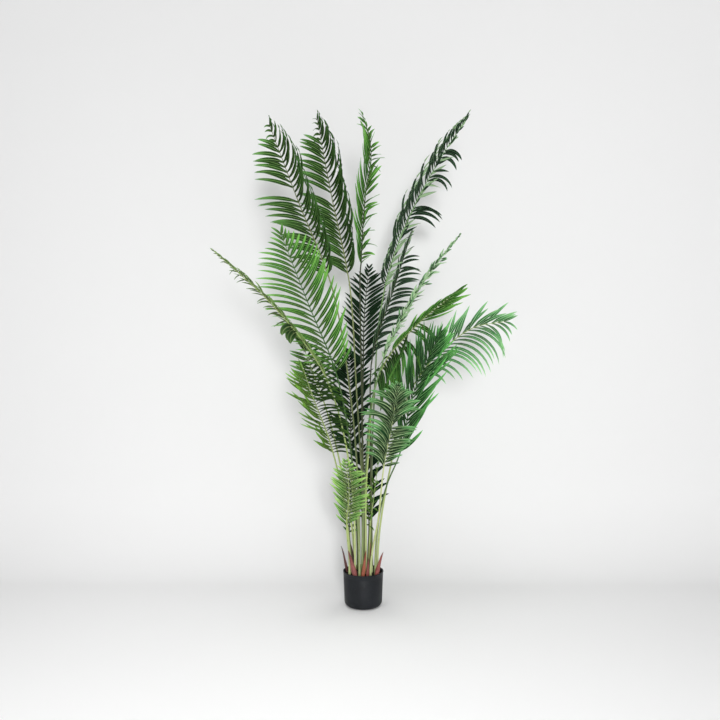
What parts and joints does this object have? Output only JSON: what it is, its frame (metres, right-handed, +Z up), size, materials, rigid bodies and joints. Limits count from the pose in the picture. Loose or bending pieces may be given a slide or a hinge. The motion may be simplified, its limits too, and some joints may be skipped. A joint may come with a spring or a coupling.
{
  "type": "potted palm",
  "caption": "Tall potted palm: feather-shaped fronds on slim stems, with pointed reddish sheaths at their feet, in a small round tapered pot.",
  "frame": {"origin": "centre of the pot's flat foot, on the surface that it stands on", "axes": "+Z up along the pot's axis, -Y to the front, +X to the viewer's right"},
  "size_m": [1.026, 0.7861, 1.8046],
  "materials": {
    "pot": "matte",
    "cement": "matte",
    "soil": "matte",
    "stem": "satin",
    "sheath": "satin",
    "leaf_bright": "satin",
    "leaf_deep": "satin",
    "leaf_dark": "satin",
    "leaf_lime": "satin",
    "leaf_olive": "satin",
    "leaf_mint": "satin",
    "leaf_pale": "satin"
  },
  "bodies": {
    "root": {"pot": "pot", "cement_weight": "cement", "soil_cover": "soil", "frond_01": "leaf_deep", "frond_02": "leaf_deep", "frond_03": "leaf_lime", "frond_04": "leaf_dark", "frond_05": "leaf_dark", "frond_06": "leaf_mint", "frond_07": "leaf_dark", "frond_08": "leaf_bright", "frond_09": "leaf_olive", "frond_10": "leaf_lime", "frond_11": "leaf_lime", "frond_12": "leaf_mint", "frond_13": "leaf_bright", "frond_14": "leaf_deep", "frond_15": "leaf_pale", "frond_16": "leaf_dark", "frond_17": "leaf_lime", "frond_18": "leaf_dark", "frond_19": "leaf_dark", "frond_20": "leaf_deep", "stem_01": "stem", "stem_02": "stem", "stem_03": "stem", "stem_04": "stem", "stem_05": "stem", "stem_06": "stem", "stem_07": "stem", "stem_08": "stem", "stem_09": "stem", "stem_10": "stem", "stem_11": "stem", "stem_12": "stem", "stem_13": "stem", "stem_14": "stem", "stem_15": "stem", "stem_16": "stem", "stem_17": "stem", "stem_18": "stem", "stem_19": "stem", "stem_20": "stem", "sheath_1": "sheath", "sheath_2": "sheath", "sheath_3": "sheath", "sheath_4": "sheath", "sheath_5": "sheath", "sheath_6": "sheath", "sheath_7": "sheath"}
  },
  "joints": []
}
